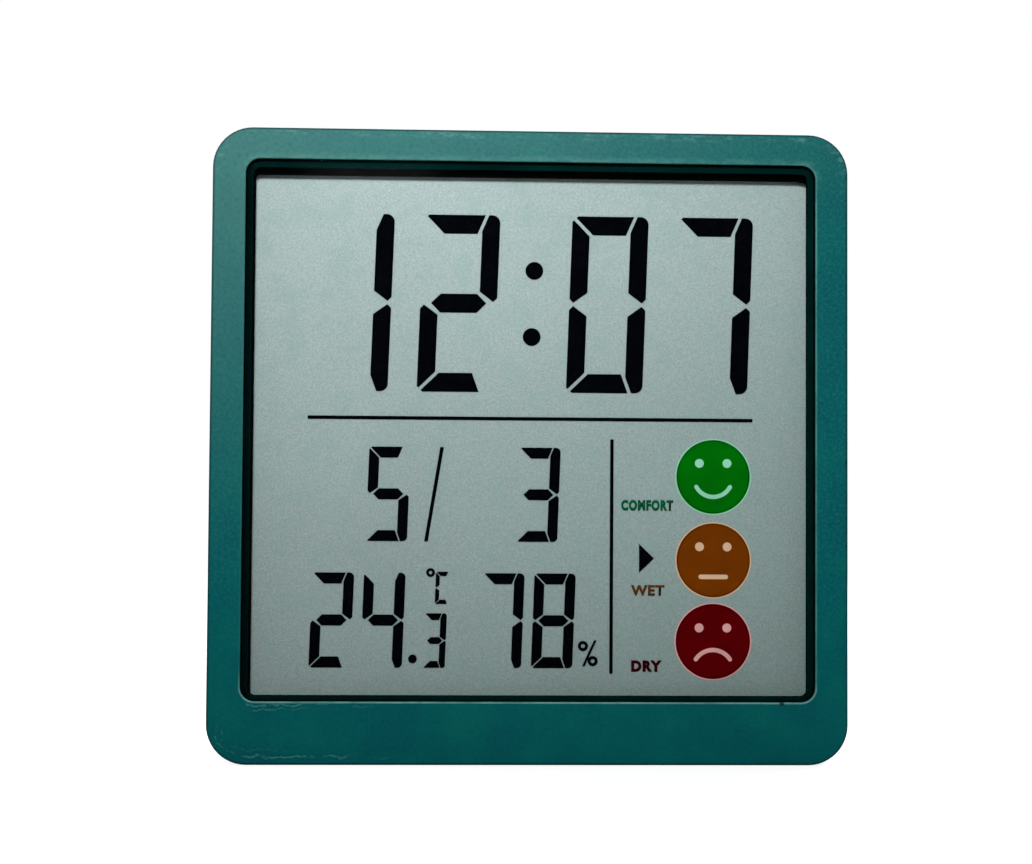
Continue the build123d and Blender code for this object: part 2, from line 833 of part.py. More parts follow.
def battery(x, upward):
    # A round cell standing along Z, with its nub up or down.
    body_length = battery_length - battery_nub_height
    body = Pos(0, 0, body_length / 2) * Cylinder(battery_radius, body_length)
    body = fillet(body.edges().filter_by(GeomType.CIRCLE), battery_edge_radius)
    body += Pos(0, 0, body_length + battery_nub_height / 2) * Cylinder(battery_nub_radius, battery_nub_height)
    if upward:
        return Pos(x, battery_y, bay_top - contact_sheet - battery_length) * body
    return Pos(x, battery_y, bay_bottom + contact_sheet + battery_length) * Rot(180, 0, 0) * body


def contact_plate(x, z0, z1):
    half = contact_width / 2
    low_y = battery_y - contact_height / 2
    return span_box(x - half, x + half, low_y, low_y + contact_height, z0, z1)


def conical_spring(x, z0, z1, upward):
    # Half turns of wire whose radius shrinks evenly towards the cell.
    steps = 2 * spring_turns
    wire = spring_wire_radius
    height = abs(z1 - z0) - 2 * wire
    points = []
    for i in range(4 * steps + 1):
        share = i / (4 * steps)
        radius = spring_large_radius + (spring_small_radius - spring_large_radius) * share
        angle = math.pi * steps * share
        rise = wire + height * share
        points.append((radius * math.cos(angle), radius * math.sin(angle), rise))
    path = Spline(*points)
    section = Plane(origin=path @ 0, z_dir=path % 0) * Circle(wire)
    coil = sweep(section, path=path, is_frenet=True)
    if upward:
        return Pos(x, battery_y, z0) * coil
    return Pos(x, battery_y, z1) * Rot(180, 0, 0) * coil


def contact_tail(x):
    # From the plate through the bay's end wall, then forward to a foot on the board.
    half = contact_tail_width / 2
    low_y = battery_y - contact_height / 2
    turn_z = max(bay_top + bay_wall, board_band_bottom) + contact_sheet
    level = span_box(x - half, x + half, low_y, low_y + contact_sheet, bay_top - contact_sheet, turn_z)
    drop = span_box(x - half, x + half, board_back_y, low_y + contact_sheet, turn_z - contact_sheet, turn_z)
    foot = span_box(x - half, x + half, board_back_y, board_back_y + contact_sheet,
                    turn_z - contact_sheet, turn_z + contact_foot)
    return level + drop + foot


def cell_contact_plus():
    x = battery_places[0]
    return contact_plate(x, bay_top - contact_sheet, bay_top) + contact_tail(x)


def cell_contact_minus():
    x = battery_places[1]
    return contact_plate(x, bay_top - contact_sheet, bay_top) + contact_tail(x)


def cell_link():
    low_y = battery_y - contact_height / 2
    half = contact_width / 2
    return span_box(battery_places[0] - half, battery_places[1] + half, low_y, low_y + contact_height,
                    bay_bottom, bay_bottom + contact_sheet)


def cell_springs():
    cell_foot = bay_top - contact_sheet - battery_length
    cell_head = bay_bottom + contact_sheet + battery_length
    low = conical_spring(battery_places[0], bay_bottom + contact_sheet, cell_foot, True)
    high = conical_spring(battery_places[1], cell_head, bay_top - contact_sheet, False)
    return group([low, high])


def stand_recess():
    return span_box(-recess_half, recess_half, recess_floor_y, back_y + overrun, wall, recess_top)


def stand_socket():
    end = recess_half + stand_pin_length - stand_side_gap + stand_pin_end_gap
    turned = Pos(0, hinge_y, stand_hinge_z) * Rot(0, 90, 0)
    return turned * Cylinder(stand_pin_radius + stand_pin_gap, 2 * end)


def finger_notch():
    return slab(disc(-recess_half, notch_rise, notch_radius), back_y - notch_depth, back_y + overrun)


def rear_cover():
    body = slab(case_outline(0, case_corner_radius), split_y, back_y)
    body = fillet(edges_at(body, Axis.Y, back_y), back_edge_radius)
    body = chamfer(edges_at(body, Axis.Y, split_y), seam_bevel)
    body -= slab(case_outline(wall, inner_radius), split_y - overrun, back_inner_y)
    lap_inset = lap_wall + lap_gap
    tongue = case_outline(lap_inset, case_corner_radius - lap_inset) - case_outline(wall, inner_radius)
    body += slab(tongue, split_y - lap_length + lap_gap, split_y)
    shells = [recess_shell(), bay_shell(), door_land_shell(), keyhole_shell()]
    for piece in shells + screw_posts() + top_hooks() + key_collars():
        body += piece
    for space in (stand_recess(), stand_socket(), finger_notch(), bay_space(), door_space(),
                  keyhole_space(), button_space()):
        body -= space
    for space in vents() + screw_wells():
        body -= space
    return body


def recess_shell():
    outer = recess_half + recess_wall
    front_y = recess_floor_y - recess_floor
    return span_box(-outer, outer, front_y, back_inner_y, wall, recess_top + recess_wall)


def bay_shell():
    # Box round the two cells, whose underside follows their round shape.
    box = span_box(bay_left - bay_wall, bay_right + bay_wall, bay_front_y, back_inner_y,
                   bay_bottom - bay_wall, bay_top + bay_wall)
    under = span_box(bay_left - bay_wall, bay_right + bay_wall, bay_front_y, battery_y, bay_bottom, bay_top)
    for x in battery_places:
        barrel = Cylinder(battery_radius + trough_gap + bay_floor, bay_length)
        under -= Pos(x, battery_y, bay_middle) * barrel
    return box - under


def door_land_shell():
    margin = rail_depth + door_land / 2
    return span_box(door_left - door_land / 2, inner_half, door_floor_y - door_land, back_inner_y,
                    door_low - margin, door_high + margin)


def bay_space():
    space = span_box(bay_left, bay_right, battery_y, back_y, bay_bottom, bay_top)
    for x in battery_places:
        space += Pos(x, battery_y, bay_middle) * Cylinder(battery_radius + trough_gap, bay_length)
    low_y = battery_y - contact_height / 2
    half = contact_width / 2
    for x in battery_places:
        space += span_box(x - half - contact_slot_gap, x + half + contact_slot_gap, low_y - contact_slot_gap,
                          battery_y, bay_bottom, bay_bottom + battery_gap)
        space += span_box(x - half - contact_slot_gap, x + half + contact_slot_gap, low_y - contact_slot_gap,
                          battery_y, bay_top - battery_gap, bay_top)
        half_tail = contact_tail_width / 2 + contact_slot_gap
        space += span_box(x - half_tail, x + half_tail, low_y - contact_slot_gap,
                          low_y + contact_sheet + contact_slot_gap, bay_top - battery_gap,
                          bay_top + bay_wall + overrun)
    link_left = battery_places[0] - half - contact_slot_gap
    link_right = battery_places[1] + half + contact_slot_gap
    space += span_box(link_left, link_right, low_y - contact_slot_gap, battery_y, bay_bottom,
                      bay_bottom + battery_gap)
    return space


def door_space():
    space = span_box(door_left, half_width + overrun, door_floor_y, back_y + overrun, door_low, door_high)
    return space + span_box(door_left, half_width + overrun, rail_y, rail_y + rail_height,
                            door_low - rail_depth, door_high + rail_depth)


def keyhole_space():
    slot_half = keyhole_slot_radius
    entry = disc(0, keyhole_z, keyhole_radius) + disc(0, keyhole_top_z, slot_half)
    entry += Pos(0, (keyhole_z + keyhole_top_z) / 2) * Rectangle(2 * slot_half, keyhole_rise)
    through = slab(entry, back_inner_y - overrun, back_y + overrun)
    pocket_half = keyhole_radius + keyhole_margin
    pocket = span_box(-pocket_half, pocket_half, back_inner_y - keyhole_pocket_depth, back_inner_y,
                      keyhole_z - pocket_half, keyhole_top_z + slot_half + keyhole_margin)
    return through + pocket


def keyhole_shell():
    half = keyhole_radius + keyhole_margin + keyhole_wall
    return span_box(-half, half, back_inner_y - keyhole_pocket_depth - keyhole_wall, back_inner_y,
                    recess_top, inner_top)


def screw_posts():
    # Posts that meet the bosses of the front frame, trimmed to the inside of the case.
    post_front_y = boss_back_y + case_boss_gap
    room = slab(case_outline(wall + lap_gap, inner_radius), post_front_y, split_y)
    room += slab(case_outline(lap_wall + lap_gap, case_corner_radius - lap_wall - lap_gap),
                 split_y - lap_length + lap_gap, back_inner_y)
    return [slab(disc(side * case_screw_place, screw_row_height, case_post_radius),
                 post_front_y, back_inner_y) & room for side in (-1, 1)]


def screw_wells():
    wells = []
    for side in (-1, 1):
        x = side * case_screw_place
        hole = disc(x, screw_row_height, case_screw_radius + post_hole_gap)
        wells.append(slab(hole, boss_back_y, screw_seat_y + overrun))
        wells.append(slab(disc(x, screw_row_height, case_head_well_radius), screw_seat_y, back_y + overrun))
    return wells


def top_hooks():
    hooks = []
    for side in (-1, 1):
        x = side * hook_place
        half = hook_width / 2
        front_y = split_y - hook_reach
        high = inner_top - hook_gap
        arm = span_box(x - half, x + half, front_y, split_y + lap_length, high - hook_thickness, high)
        root = span_box(x - half, x + half, split_y, split_y + lap_length, high - hook_thickness,
                        inner_top + lap_gap)
        barb = span_box(x - half, x + half, front_y, front_y + hook_barb_length, high - hook_gap,
                        inner_top + hook_barb)
        hooks.append(arm + root + barb)
    return hooks


def key_outline(z, margin):
    half_x = button_width / 2 + margin
    half_z = button_height / 2 + margin
    return rounded(button_x - half_x, button_x + half_x, z - half_z, z + half_z,
                   button_corner_radius + margin)


def key_collars():
    # Low walls inside the cover that guide the flange of each key.
    inner = button_flange + collar_gap
    return [slab(key_outline(z, inner + collar_wall) - key_outline(z, inner),
                 back_inner_y - collar_depth, back_inner_y) for z in button_places]


def button_space():
    half_x = button_width / 2 + panel_margin
    half_z = button_height / 2 + panel_margin
    panel = rounded(button_x - half_x, button_x + half_x, button_places[0] - half_z,
                    button_places[-1] + half_z, panel_radius)
    space = slab(panel, panel_floor_y, back_y + overrun)
    for z in button_places:
        space += slab(key_outline(z, button_gap), back_inner_y - overrun, back_y + overrun)
    return space


def vents():
    slots = []
    for i in range(vent_count):
        x = button_x + vent_pitch * (i - (vent_count - 1) / 2)
        slot = rounded(x - vent_width / 2, x + vent_width / 2, vent_z - vent_height / 2,
                       vent_z + vent_height / 2, vent_width * corner_share)
        slots.append(slab(slot, back_inner_y - overrun, back_y + overrun))
    return slots


def stand():
    half = stand_width / 2
    outer_y = back_y - stand_back_inset
    inner_y = outer_y - stand_thickness
    tip_z = wall + stand_tip_gap
    top_z = stand_hinge_z + stand_heel
    plate = rounded(-half, half, tip_z - stand_tip_radius, top_z + stand_tip_radius, stand_tip_radius)
    leg = slab(plate, inner_y, outer_y) & span_box(-half, half, inner_y, outer_y, tip_z, top_z)
    leg = fillet(edges_at(leg, Axis.Y, outer_y), stand_edge_radius)
    heel = edges_at(leg, Axis.Y, inner_y).filter_by(Axis.X).sort_by(Axis.Z)[-1]
    leg = fillet(heel, stand_heel / 2)
    pocket_top = stand_hinge_z - stand_pin_radius - stand_rim
    middle = (tip_z + pocket_top) / 2
    for low, high in ((tip_z + stand_rim, middle - stand_rib / 2), (middle + stand_rib / 2, pocket_top)):
        pocket = rounded(stand_rim - half, half - stand_rim, low, high, stand_rim)
        leg -= slab(pocket, inner_y - overrun, outer_y - stand_skin)
    reach = half + stand_pin_length
    pin = Pos(0, hinge_y, stand_hinge_z) * Rot(0, 90, 0) * Cylinder(stand_pin_radius, 2 * reach)
    return leg + pin


def battery_door():
    gap = door_gap
    front_y = door_floor_y + door_seat_gap
    right = half_width - door_side_gap
    body = span_box(door_left + gap, right, front_y, back_y, door_low + gap, door_high - gap)
    edge = edges_at(body, Axis.Y, back_y).filter_by(Axis.Z).sort_by(Axis.X)[-1]
    body = fillet(edge, back_edge_radius)
    outer = edges_at(body, Axis.Y, back_y)
    rim = outer.filter_by(Axis.X) + outer.filter_by(Axis.Z).sort_by(Axis.X)[:1]
    body = fillet(rim, door_edge_radius)
    body += span_box(door_left + gap, right - back_edge_radius, rail_y + gap, rail_y + rail_height - gap,
                     door_low - rail_depth + gap, door_high + rail_depth - gap)
    for i in range(grip_count):
        x = right - grip_inset - grip_pitch * i
        groove = rounded(x - grip_width / 2, x + grip_width / 2, bay_middle - grip_length / 2,
                         bay_middle + grip_length / 2, grip_width * corner_share)
        body -= slab(groove, back_y - grip_depth, back_y + overrun)
    return body


def all_parts():
    parts = {
        "front_frame": front_frame(),
        "display_window": display_window(),
        "display_surround": display_surround(),
        "display_gasket": display_gasket(),
        "lcd_front_glass": lcd_front_glass(),
        "lcd_segments": lcd_segments(),
        "lcd_seal": lcd_seal(),
        "lcd_rear_panel": lcd_rear_panel(),
        "zebra_strip": zebra_strip(),
        "lcd_tray": lcd_tray(),
        "tray_screws": tray_screws(),
        "main_board": main_board(),
        "controller_chip": controller_chip(),
        "crystal": crystal(),
        "chip_parts": chip_parts(),
        "buzzer": buzzer(),
        "capacitor": capacitor(),
        "humidity_sensor": humidity_sensor(),
        "thermistor": thermistor(),
        "component_leads": component_leads(),
        "switch_bodies": switch_bodies(),
        "battery_left": battery(battery_places[0], True),
        "battery_right": battery(battery_places[1], False),
        "cell_contact_plus": cell_contact_plus(),
        "cell_contact_minus": cell_contact_minus(),
        "cell_link": cell_link(),
        "cell_springs": cell_springs(),
        "rear_cover": rear_cover(),
        "case_screws": case_screws(),
        "stand": stand(),
        "battery_door": battery_door(),
    }
    for name, z in zip(("unit", "down", "up", "mode"), button_places):
        parts[name + "_button"] = push_button(z)
        parts[name + "_plunger"] = plunger(z)
    return parts


os.makedirs("parts", exist_ok=True)
for node, shape in all_parts().items():
    export_step(shape, f"parts/{node}.step")
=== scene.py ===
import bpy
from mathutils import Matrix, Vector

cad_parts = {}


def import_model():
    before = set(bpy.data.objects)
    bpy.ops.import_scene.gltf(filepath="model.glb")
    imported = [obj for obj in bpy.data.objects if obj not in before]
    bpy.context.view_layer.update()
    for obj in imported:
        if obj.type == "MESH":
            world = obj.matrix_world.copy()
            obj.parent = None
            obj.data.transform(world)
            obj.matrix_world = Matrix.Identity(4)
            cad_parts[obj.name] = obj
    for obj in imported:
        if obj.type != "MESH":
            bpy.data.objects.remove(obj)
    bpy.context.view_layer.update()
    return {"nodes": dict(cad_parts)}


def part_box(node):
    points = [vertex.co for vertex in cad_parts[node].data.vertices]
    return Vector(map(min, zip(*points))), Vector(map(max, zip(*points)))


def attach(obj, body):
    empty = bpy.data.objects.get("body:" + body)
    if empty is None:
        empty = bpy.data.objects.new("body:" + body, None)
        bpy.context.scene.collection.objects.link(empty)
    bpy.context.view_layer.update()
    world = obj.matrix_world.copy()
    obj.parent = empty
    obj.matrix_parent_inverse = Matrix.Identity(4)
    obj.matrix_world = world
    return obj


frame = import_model()

import math

import bpy
from mathutils import Matrix, Vector

MM = 0.001
scene = bpy.context.scene

# Camera in metres and radians, fitted to the four corners of the face
SENSOR_WIDTH = 36.0
LENS = 61.50
EYE = (-0.010320, -0.230, 0.033245)
YAW = 0.0384
PITCH = 0.0372
ROLL = 0.0065

# Corner radii of the case and of its opening
CASE_RADIUS = 5.0 * MM
OPENING_RADIUS = 1.7 * MM

# Colours as written, 0 to 255: the shells and their grain, then the marks of the front: its painted light and
# shade, and its wear
FRONT_GREENS = ((0, 83, 88), (0, 88, 90), (1, 93, 91))
BACK_GREENS = ((0, 83, 87), (0, 88, 90), (2, 94, 93))
SPECK = (44, 128, 122)
PORE = (0, 58, 62)
GREYED = (10, 66, 64)
PAINTED_CORNER_LIGHT = (92, 134, 128)
PAINTED_LIP_HIGHLIGHT = (104, 150, 138)
PAINTED_EDGE_HIGHLIGHT = (116, 172, 164)
RUBBED_TOP = (104, 146, 138)
OPENING_WALL_SHADE = (0, 20, 18)
HAIRLINE_SHADE = (0, 34, 38)
SCUFF_AND_SHEEN = (70, 142, 140)
SCUFF_SHADE = (0, 56, 60)
NICK = (0, 22, 24)

# Values between which a noise mostly lies
NOISE_SPAN = (0.3, 0.7)

# Share of what lies behind a clear sheet that the sheet hides
SHEET_ALPHA = 0.02

# Batteries: bare share of the length, and half width of the wrap's edge
BARE_SHARE = 0.30
WRAP_EDGE = 0.1 * MM

# Prints, in millimetres from here to the lamps: thickness of a layer of ink, level of the lowest, and words
INK = 0.02
PRINT_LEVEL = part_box("lcd_rear_panel")[0][1] / MM - INK
WORD_THICKNESS = 0.08

# Mood faces: the pale ring outside a face's radius, the dark ring inside it, and the eyes from its middle
EDGE_RING = 0.17
RIM_RING = 0.22
EYE_RADIUS = 0.57
EYE_ACROSS = 1.77
EYE_UP = 1.72

# A face's middle, radius and two colours, and its mouth: half width, place under the middle, rise, line width
MOODS = {
    "comfort": ((23.50, 36.05), 4.70, (0, 106, 6), (150, 222, 188), (2.16, 1.28, -1.28, 0.54)),
    "wet": ((23.54, 25.42), 4.70, (114, 54, 2), (226, 190, 156), (1.60, 2.10, 0.0, 0.58)),
    "dry": ((23.52, 15.12), 4.76, (92, 0, 4), (236, 174, 172), (2.18, 2.26, 1.18, 0.54)),
}

# Letters are made heavier by a weight, a share of their size, and stand wider by this many times the weight
LETTER_SPREAD = 2.7

# A word's text, its field in X and in Z, the weight of its letters, and its two tones
WORDS = {
    "comfort": ("COMFORT", (11.74, 18.40), (31.68, 33.06), 0.060, (0, 82, 50), (0, 100, 62)),
    "wet": ("WET", (13.02, 17.32), (20.88, 22.24), 0.040, (84, 50, 14), (104, 64, 22)),
    "dry": ("DRY", (13.10, 17.00), (11.26, 12.70), 0.060, (52, 0, 12), (68, 4, 20)),
}

# Words over the keys, with their widths, on the floor of the sunk panel
KEY_WORDS = {"mode": ("MODE", 4.6), "up": ("UP", 2.2), "down": ("DOWN", 5.0), "unit": ("C/F", 2.9)}
KEY_PANEL_DEPTH = 0.8
KEY_PANEL_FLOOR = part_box("rear_cover")[1][1] / MM - KEY_PANEL_DEPTH
KEY_WORD_HEIGHT = 1.3
KEY_WORD_GAP = 0.1
KEY_WORD_THICKNESS = 0.03
KEY_WORD_WEIGHT = 0.02

# Lamps in metres, degrees and watts: place, target, size, spread and power
LAMPS = {
    "key": ((-0.03, -0.26, 0.15), (-0.008, -0.01, 0.102), 0.07, 60, 0.115),
    "right_fill": ((0.26, 0.24, 0.28), (0.0, 0.0, 0.04), 0.30, 180, 2.4),
    "left_fill": ((-0.34, 0.10, 0.24), (0.0, 0.0, 0.04), 0.30, 180, 1.0),
}

# Floor in metres: half its width, its two greys as linear light, and its glow from the part outwards
FLOOR_HALF = 4.0
FLOOR_GREYS = (0.42, 0.44)
GLOW_REACH = (0.12, 0.45)
GLOW_STRENGTH = (0.80, 0.97)

# Strength of the world's light on the part, and of the white behind it
WORLD_LIGHT = 0.2
WORLD_WHITE = 1.0

# Sockets of the Mix node for colours, which share their names with its other sockets
MIX_SHARE = 0
MIX_FIRST = 6
MIX_SECOND = 7
MIX_RESULT = 2


def camera():
    data = bpy.data.cameras.new("camera")
    data.sensor_width = SENSOR_WIDTH
    data.lens = LENS
    data.clip_start = 0.01
    data.clip_end = 10.0
    ahead = Vector((math.sin(YAW) * math.cos(PITCH), math.cos(YAW) * math.cos(PITCH), math.sin(PITCH)))
    level = Vector((math.cos(YAW), -math.sin(YAW), 0.0))
    upright = level.cross(ahead)
    right = math.cos(ROLL) * level + math.sin(ROLL) * upright
    up = math.cos(ROLL) * upright - math.sin(ROLL) * level
    turn = Matrix((right, up, -ahead)).transposed()
    eye = bpy.data.objects.new("camera", data)
    eye.matrix_world = Matrix.Translation(EYE) @ turn.to_4x4()
    scene.collection.objects.link(eye)
    scene.camera = eye


def shade(colour):
    # A written colour of 0 to 255 as linear light.
    return tuple((c / 255 / 12.92) if c <= 10 else ((c / 255 + 0.055) / 1.055) ** 2.4 for c in colour)


def scaled(colour, factor):
    return [c * factor for c in colour]


class Shader:
    # A material and its nodes. Sizes and places are in metres, in the frame's own axes.
    def __init__(self, name):
        self.material = bpy.data.materials.new(name)
        self.material.use_nodes = True
        self.nodes = self.material.node_tree.nodes
        self.links = self.material.node_tree.links
        self.bsdf = self.nodes["Principled BSDF"]
        self.place = self.nodes.new("ShaderNodeTexCoord").outputs["Object"]

    def put(self, **values):
        # Plain numbers on the shader's own sockets.
        for key, value in values.items():
            self.bsdf.inputs[key.replace("_", " ").title().replace("Ior", "IOR")].default_value = value

    def link(self, source, target):
        self.links.new(source, target)

    def fill(self, socket, value):
        # Gives a socket a link or a plain value.
        if hasattr(value, "is_output"):
            self.link(value, socket)
        else:
            socket.default_value = value

    def axis(self, name):
        node = self.nodes.new("ShaderNodeSeparateXYZ")
        self.link(self.place, node.inputs[0])
        return node.outputs[name]

    def noise(self, size, detail=4.0, roughness=0.55, stretch=None):
        node = self.nodes.new("ShaderNodeTexNoise")
        node.inputs["Scale"].default_value = 1.0 / size
        node.inputs["Detail"].default_value = detail
        node.inputs["Roughness"].default_value = roughness
        place = self.place
        if stretch:
            mapping = self.nodes.new("ShaderNodeMapping")
            mapping.inputs["Scale"].default_value = stretch
            self.link(self.place, mapping.inputs["Vector"])
            place = mapping.outputs["Vector"]
        self.link(place, node.inputs["Vector"])
        return node.outputs["Fac"]

    def ramp(self, value, stops):
        node = self.nodes.new("ShaderNodeValToRGB")
        band = node.color_ramp
        while len(band.elements) < len(stops):
            band.elements.new(0.5)
        for element, (place, colour) in zip(band.elements, stops):
            element.position = place
            element.color = (*colour, 1.0)
        self.link(value, node.inputs["Fac"])
        return node.outputs["Color"]

    def tones(self, value, places, colours):
        return self.ramp(value, [(place, shade(colour)) for place, colour in zip(places, colours)])

    def mix(self, share, first, second, mode="MIX"):
        node = self.nodes.new("ShaderNodeMix")
        node.data_type = "RGBA"
        node.blend_type = mode
        self.link(share, node.inputs[MIX_SHARE])
        self.link(first, node.inputs[MIX_FIRST])
        self.fill(node.inputs[MIX_SECOND], second)
        return node.outputs[MIX_RESULT]

    def paint(self, base, share, colour, mode="MIX"):
        # Lays a written colour over the base, by a share that varies over the surface.
        return self.mix(share, base, (*shade(colour), 1.0), mode)

    def math(self, operation, *values):
        node = self.nodes.new("ShaderNodeMath")
        node.operation = operation
        for socket, value in zip(node.inputs, values):
            self.fill(socket, value)
        return node.outputs[0]

    def product(self, first, *others):
        for other in others:
            first = self.math("MULTIPLY", first, other)
        return first

    def length(self, across, up):
        squares = [self.math("MULTIPLY", side, side) for side in (across, up)]
        return self.math("SQRT", self.math("ADD", *squares))

    def range(self, value, low, high, to_low=0.0, to_high=1.0, smooth=True):
        node = self.nodes.new("ShaderNodeMapRange")
        node.interpolation_type = "SMOOTHSTEP" if smooth else "LINEAR"
        self.link(value, node.inputs["Value"])
        for key, number in (("From Min", low), ("From Max", high), ("To Min", to_low), ("To Max", to_high)):
            node.inputs[key].default_value = number
        return node.outputs["Result"]

    def outline(self, low, high, radius):
        # Distance outside a round-cornered outline in X and Z, negative inside it.
        parts = []
        for name, side in (("X", 0), ("Z", 2)):
            middle = (low[side] + high[side]) / 2
            half = (high[side] - low[side]) / 2 - radius
            off = self.math("ABSOLUTE", self.math("SUBTRACT", self.axis(name), middle))
            parts.append(self.math("SUBTRACT", off, half))
        outside = self.length(*[self.math("MAXIMUM", part, 0.0) for part in parts])
        inside = self.math("MINIMUM", self.math("MAXIMUM", *parts), 0.0)
        return self.math("SUBTRACT", self.math("ADD", outside, inside), radius)

    def bump(self, height, strength, depth):
        node = self.nodes.new("ShaderNodeBump")
        node.inputs["Strength"].default_value = strength
        node.inputs["Distance"].default_value = depth
        self.link(height, node.inputs["Height"])
        self.link(node.outputs["Normal"], self.bsdf.inputs["Normal"])

    def colour(self, value):
        self.link(value, self.bsdf.inputs["Base Color"])

    def rough(self, value, low, high):
        self.link(self.range(value, *NOISE_SPAN, low, high), self.bsdf.inputs["Roughness"])


def plain(name, dark, light, size, rough=(0.4, 0.55), bump=0.1, depth=0.03 * MM, metallic=0.0, stretch=None,
          specular=0.5):
    # Two close tones in clouds of the given size, with a fine relief.
    s = Shader(name)
    s.colour(s.tones(s.noise(size, stretch=stretch), (0.32, 0.68), (dark, light)))
    s.rough(s.noise(size * 1.7, 3.0, stretch=stretch), *rough)
    s.put(metallic=metallic, specular_ior_level=specular)
    if bump:
        s.bump(s.noise(size / 3, 2.0, stretch=stretch), bump, depth)
    return s.material


def ink(name, dark, light):
    return plain(name, dark, light, 3.5 * MM, rough=(0.45, 0.6), bump=0.15, depth=0.01 * MM, specular=0.0)


def shell(name, greens, specular, wear_and_painted_light):
    # Moulded green plastic with soft clouds, and specks and pores that are fainter towards the foot.
    # The front also greys upwards, and has wear and painted light and shade.
    s = Shader(name)
    base = s.tones(s.noise(6.0 * MM, 5.0, 0.58), (0.36, 0.52, 0.66), greens)
    if wear_and_painted_light:
        front = Front(s)
        base = painted_light_and_greying(s, base, front)
    speck = s.noise(0.4 * MM, 3.0, 0.7)
    pore = s.noise(0.5 * MM, 3.0, 0.65)
    strength = s.range(s.axis("Z"), 10 * MM, 30 * MM, 0.10, 0.26)
    base = s.paint(base, s.product(s.range(speck, 0.42, 0.70), strength), SPECK)
    base = s.paint(base, s.product(s.range(pore, 0.42, 0.74), strength), PORE)
    relief = s.math("MULTIPLY_ADD", speck, 0.5, s.product(s.noise(1.6 * MM, 4.0), 0.8))
    if wear_and_painted_light:
        base = edge_line(s, base, front)
        base = painted_edge_shade(s, base, front)
        base, rub = top_rub(s, base, front)
        base, rub = scuffs(s, base, front, rub)
        base = nicks(s, base, front)
        relief = s.math("SUBTRACT", relief, s.product(rub, 0.5))
    s.colour(base)
    s.rough(s.noise(4.0 * MM, 4.0), 0.46, 0.62)
    s.put(specular_ior_level=specular)
    s.bump(relief, 0.35, 0.06 * MM)
    return s.material


class Front:
    # Where a point is on the front: its x, y and z, its distances outside the outlines of the opening and of
    # the case, and whether it is on the face. Also the opening's corners, and the case's right edge and top.
    def __init__(self, s):
        self.x, self.y, self.z = [s.axis(name) for name in "XYZ"]
        self.low, self.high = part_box("display_window")
        case_low, case_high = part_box("front_frame")
        self.right, self.top = case_high[0], case_high[2]
        self.from_opening = s.outline(self.low, self.high, OPENING_RADIUS)
        self.from_case = s.outline(case_low, case_high, CASE_RADIUS)
        self.face = s.range(self.y, case_low[1] + 1.2 * MM, case_low[1] + 0.6 * MM)


def painted_light_and_greying(s, base, front):
    # Greyer upwards, painted light that makes it paler towards the top left corner, and a patchy painted
    # highlight just above the opening.
    base = s.paint(base, s.range(front.z, 20 * MM, 79 * MM, 0.0, 0.34), GREYED)
    # Painted light, paler towards the top left corner, where the lamp falls
    corner = s.math("SUBTRACT", front.z, s.product(front.x, 0.55))
    base = s.paint(base, s.range(corner, 40 * MM, 110 * MM, 0.0, 0.38), PAINTED_CORNER_LIGHT)
    # Painted highlight in patches on the band just above the opening
    patches = s.range(s.noise(1.6 * MM, 5.0, 0.75, stretch=(0.8, 1.0, 2.0)), 0.40, 0.62, 0.2, 1.0)
    above = s.range(front.z, front.high[2] - 3.0 * MM, front.high[2])
    lip = s.range(front.from_opening, 1.1 * MM, 0.3 * MM)
    return s.paint(base, s.product(lip, above, patches, 0.24), PAINTED_LIP_HIGHLIGHT)


def edge_line(s, base, front):
    # Painted highlight along the rounded edge of the opening, strongest at its foot and right.
    outer = s.range(front.from_opening, 0.36 * MM, 0.20 * MM)
    inner = s.range(front.from_opening, 0.02 * MM, 0.12 * MM)
    foot = s.range(front.z, front.low[2] + 5.0 * MM, front.low[2])
    right = s.range(front.x, front.high[0] - 6.0 * MM, front.high[0], 0.0, 0.5)
    favour = s.math("MAXIMUM", s.math("MAXIMUM", foot, right), 0.10)
    patches = s.range(s.noise(4.0 * MM, 5.0, 0.7), 0.35, 0.6, 0.45, 1.0)
    return s.paint(base, s.product(outer, inner, favour, patches, 0.8), PAINTED_EDGE_HIGHLIGHT)


def painted_edge_shade(s, base, front):
    # Painted shade on the wall of the opening from the window's face inwards, and a dark hairline of painted
    # shade round the case's edge.
    # Painted shade on the opening's wall
    behind = s.range(front.y, front.low[1] - 0.15 * MM, front.low[1])
    wall = s.product(behind, s.range(front.from_opening, 0.6 * MM, 0.4 * MM))
    base = s.paint(base, wall, OPENING_WALL_SHADE)
    # Painted shade on the case's rounded front edge
    hairline = s.product(s.range(front.from_case, -0.40 * MM, -0.12 * MM), front.face)
    return s.paint(base, s.product(hairline, 0.7), HAIRLINE_SHADE)


def top_rub(s, base, front):
    # Ragged rub under the top edge.
    ragged = s.range(s.noise(2.2 * MM, 5.0, 0.75, stretch=(1.0, 3.0, 3.0)), 0.50, 0.66)
    lower = s.range(front.from_case, -1.4 * MM, -0.6 * MM)
    upper = s.range(front.from_case, -0.2 * MM, -0.5 * MM)
    high = s.range(front.z, front.top - 9.4 * MM, front.top - 3.4 * MM)
    rub = s.product(lower, upper, high, ragged)
    return s.paint(base, s.product(rub, 0.4), RUBBED_TOP), rub


